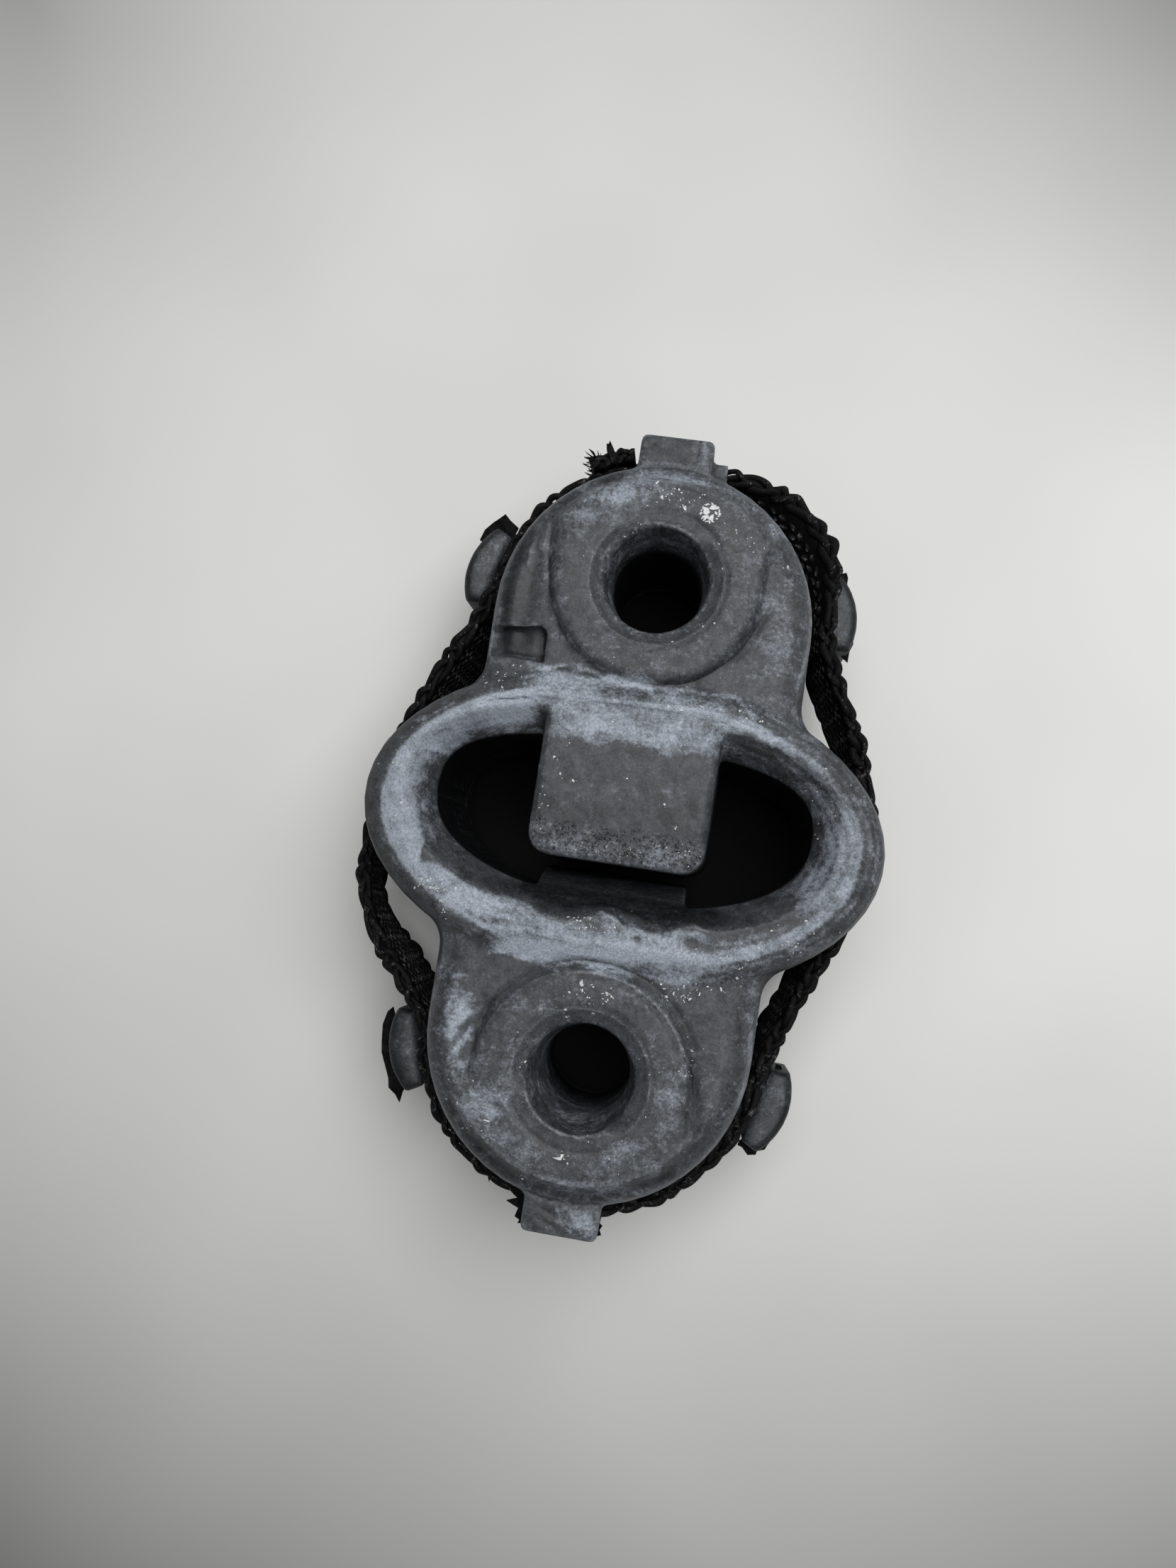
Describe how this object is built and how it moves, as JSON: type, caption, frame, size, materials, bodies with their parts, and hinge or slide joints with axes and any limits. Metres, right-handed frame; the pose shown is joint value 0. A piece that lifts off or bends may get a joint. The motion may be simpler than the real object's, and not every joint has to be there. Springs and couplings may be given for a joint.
{
  "type": "exhaust hanger rubber",
  "caption": "Moulded rubber exhaust hanger: a bored lobe at each end, an oval middle ring with a stop block in its opening, and a woven strap round the outside.",
  "frame": {"origin": "middle of the underside of the bounding box, with the part lying flat on the rear faces of its middle ring", "axes": "+Z along both bores, out of the front face; +Y along the length, towards the lobe that carries the mould pocket; +X to the right seen from the front"},
  "size_m": [0.07, 0.1062, 0.036],
  "materials": {
    "rubber": "matt, weathered and dusty",
    "woven_strap": "matt black woven webbing"
  },
  "bodies": {
    "root": {"rubber_body": "rubber", "retaining_strap": "woven_strap"}
  },
  "joints": []
}
